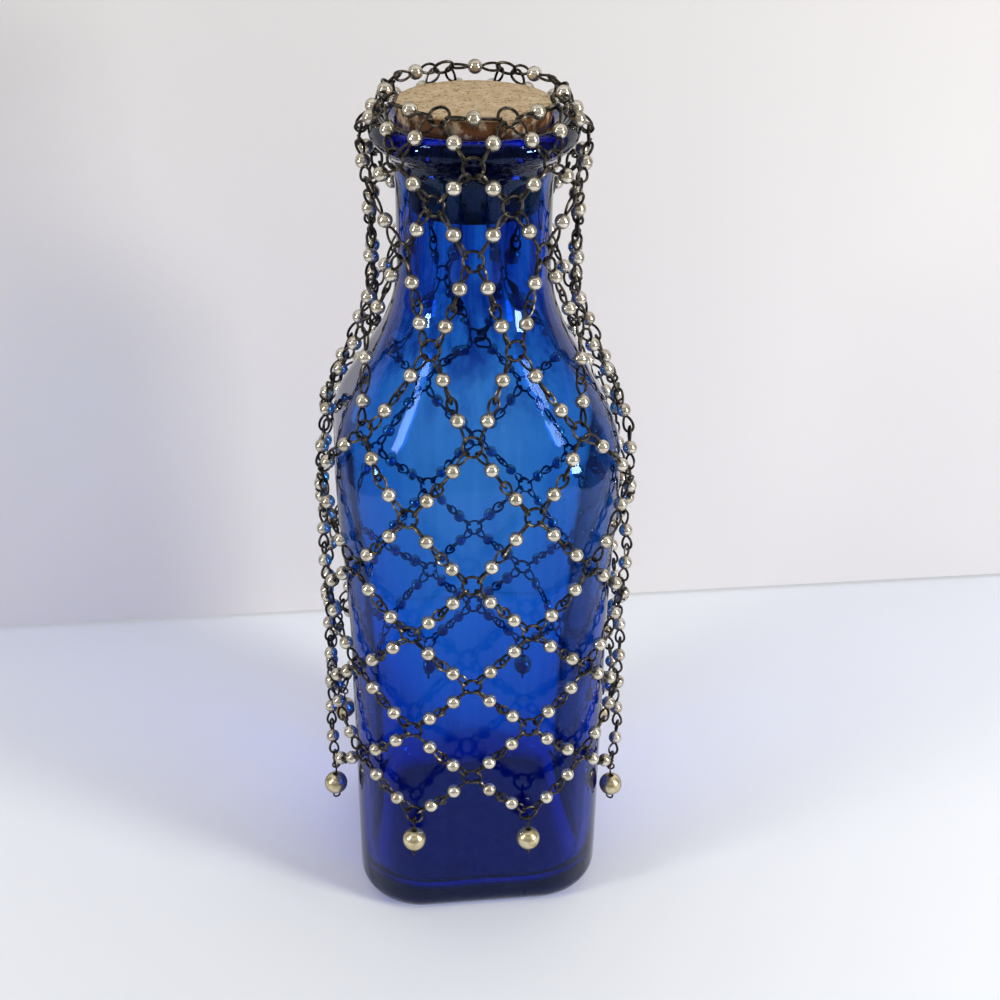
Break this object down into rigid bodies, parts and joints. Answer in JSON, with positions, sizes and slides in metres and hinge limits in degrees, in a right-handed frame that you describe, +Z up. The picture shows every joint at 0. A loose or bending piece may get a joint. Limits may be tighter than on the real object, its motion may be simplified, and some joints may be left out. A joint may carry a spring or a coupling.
{
  "type": "bottle",
  "caption": "Square-shouldered cobalt glass bottle with a flared lip, a tapered cork and a draped net of metal beads, wire links and rings with a larger bead on each hem point.",
  "frame": {"origin": "middle of the foot, on the surface the bottle stands on", "axes": "+Z up to the cork; -Y the side the picture shows; +X to its right"},
  "size_m": [0.1064, 0.1072, 0.2779],
  "materials": {
    "cobalt_glass": "clear deep blue, polished",
    "pressed_cork": "pressed cork granules, matte",
    "dark_wire": "dark antique wire",
    "bead_net": "champagne silver beads on dark wire",
    "gold_bead": "pale gold, polished"
  },
  "bodies": {
    "bottle": {"glass_bottle": "cobalt_glass"},
    "cork": {"cork_stopper": "pressed_cork"},
    "net": {"collar_ring_1": "dark_wire", "collar_ring_2": "dark_wire", "collar_ring_3": "dark_wire", "collar_ring_4": "dark_wire", "collar_ring_5": "dark_wire", "collar_ring_6": "dark_wire", "collar_ring_7": "dark_wire", "collar_ring_8": "dark_wire", "collar_link_1": "bead_net", "collar_link_2": "bead_net", "collar_link_3": "bead_net", "collar_link_4": "bead_net", "collar_link_5": "bead_net", "collar_link_6": "bead_net", "collar_link_7": "bead_net", "collar_link_8": "bead_net", "net_row_01": "bead_net", "net_row_02": "bead_net", "net_row_03": "bead_net", "net_row_04": "bead_net", "net_row_05": "bead_net", "net_row_06": "bead_net", "net_row_07": "bead_net", "net_row_08": "bead_net", "net_row_09": "bead_net", "net_row_10": "bead_net", "net_row_11": "bead_net", "net_row_12": "bead_net"},
    "drop_1": {"drop_wire_1": "dark_wire", "drop_bead_1": "gold_bead"},
    "drop_2": {"drop_wire_2": "dark_wire", "drop_bead_2": "gold_bead"},
    "drop_3": {"drop_wire_3": "dark_wire", "drop_bead_3": "gold_bead"},
    "drop_4": {"drop_wire_4": "dark_wire", "drop_bead_4": "gold_bead"},
    "drop_5": {"drop_wire_5": "dark_wire", "drop_bead_5": "gold_bead"},
    "drop_6": {"drop_wire_6": "dark_wire", "drop_bead_6": "gold_bead"},
    "drop_7": {"drop_wire_7": "dark_wire", "drop_bead_7": "gold_bead"},
    "drop_8": {"drop_wire_8": "dark_wire", "drop_bead_8": "gold_bead"}
  },
  "joints": [
    {"name": "cork_pull", "type": "slide", "parent": "bottle", "child": "cork", "axis": [0, 0, 1], "range_m": [0, 0.06]},
    {"name": "net_lift", "type": "slide", "parent": "bottle", "child": "net", "axis": [0, 0, 1], "range_m": [0, 0.012]},
    {"name": "drop_swing_1", "type": "hinge", "parent": "net", "child": "drop_1", "pos_m": [0.01358, -0.04969, 0.0479], "axis": [-0.9852, -0.1712, 0], "range_deg": [-18, 60]},
    {"name": "drop_swing_2", "type": "hinge", "parent": "net", "child": "drop_2", "pos_m": [0.04556, -0.026, 0.0479], "axis": [-0.4513, -0.8924, 0], "range_deg": [-3, 60]},
    {"name": "drop_swing_3", "type": "hinge", "parent": "net", "child": "drop_3", "pos_m": [0.04926, 0.01573, 0.0479], "axis": [0.2197, -0.9756, 0], "range_deg": [-18, 60]},
    {"name": "drop_swing_4", "type": "hinge", "parent": "net", "child": "drop_4", "pos_m": [0.02399, 0.04651, 0.0479], "axis": [0.9139, -0.406, 0], "range_deg": [-6, 60]},
    {"name": "drop_swing_5", "type": "hinge", "parent": "net", "child": "drop_5", "pos_m": [-0.01358, 0.04969, 0.0479], "axis": [0.9852, 0.1712, 0], "range_deg": [-18, 60]},
    {"name": "drop_swing_6", "type": "hinge", "parent": "net", "child": "drop_6", "pos_m": [-0.04556, 0.026, 0.0479], "axis": [0.4513, 0.8924, 0], "range_deg": [-3, 60]},
    {"name": "drop_swing_7", "type": "hinge", "parent": "net", "child": "drop_7", "pos_m": [-0.04926, -0.01573, 0.0479], "axis": [-0.2197, 0.9756, 0], "range_deg": [-18, 60]},
    {"name": "drop_swing_8", "type": "hinge", "parent": "net", "child": "drop_8", "pos_m": [-0.02399, -0.04651, 0.0479], "axis": [-0.9139, 0.406, 0], "range_deg": [-6, 60]}
  ]
}
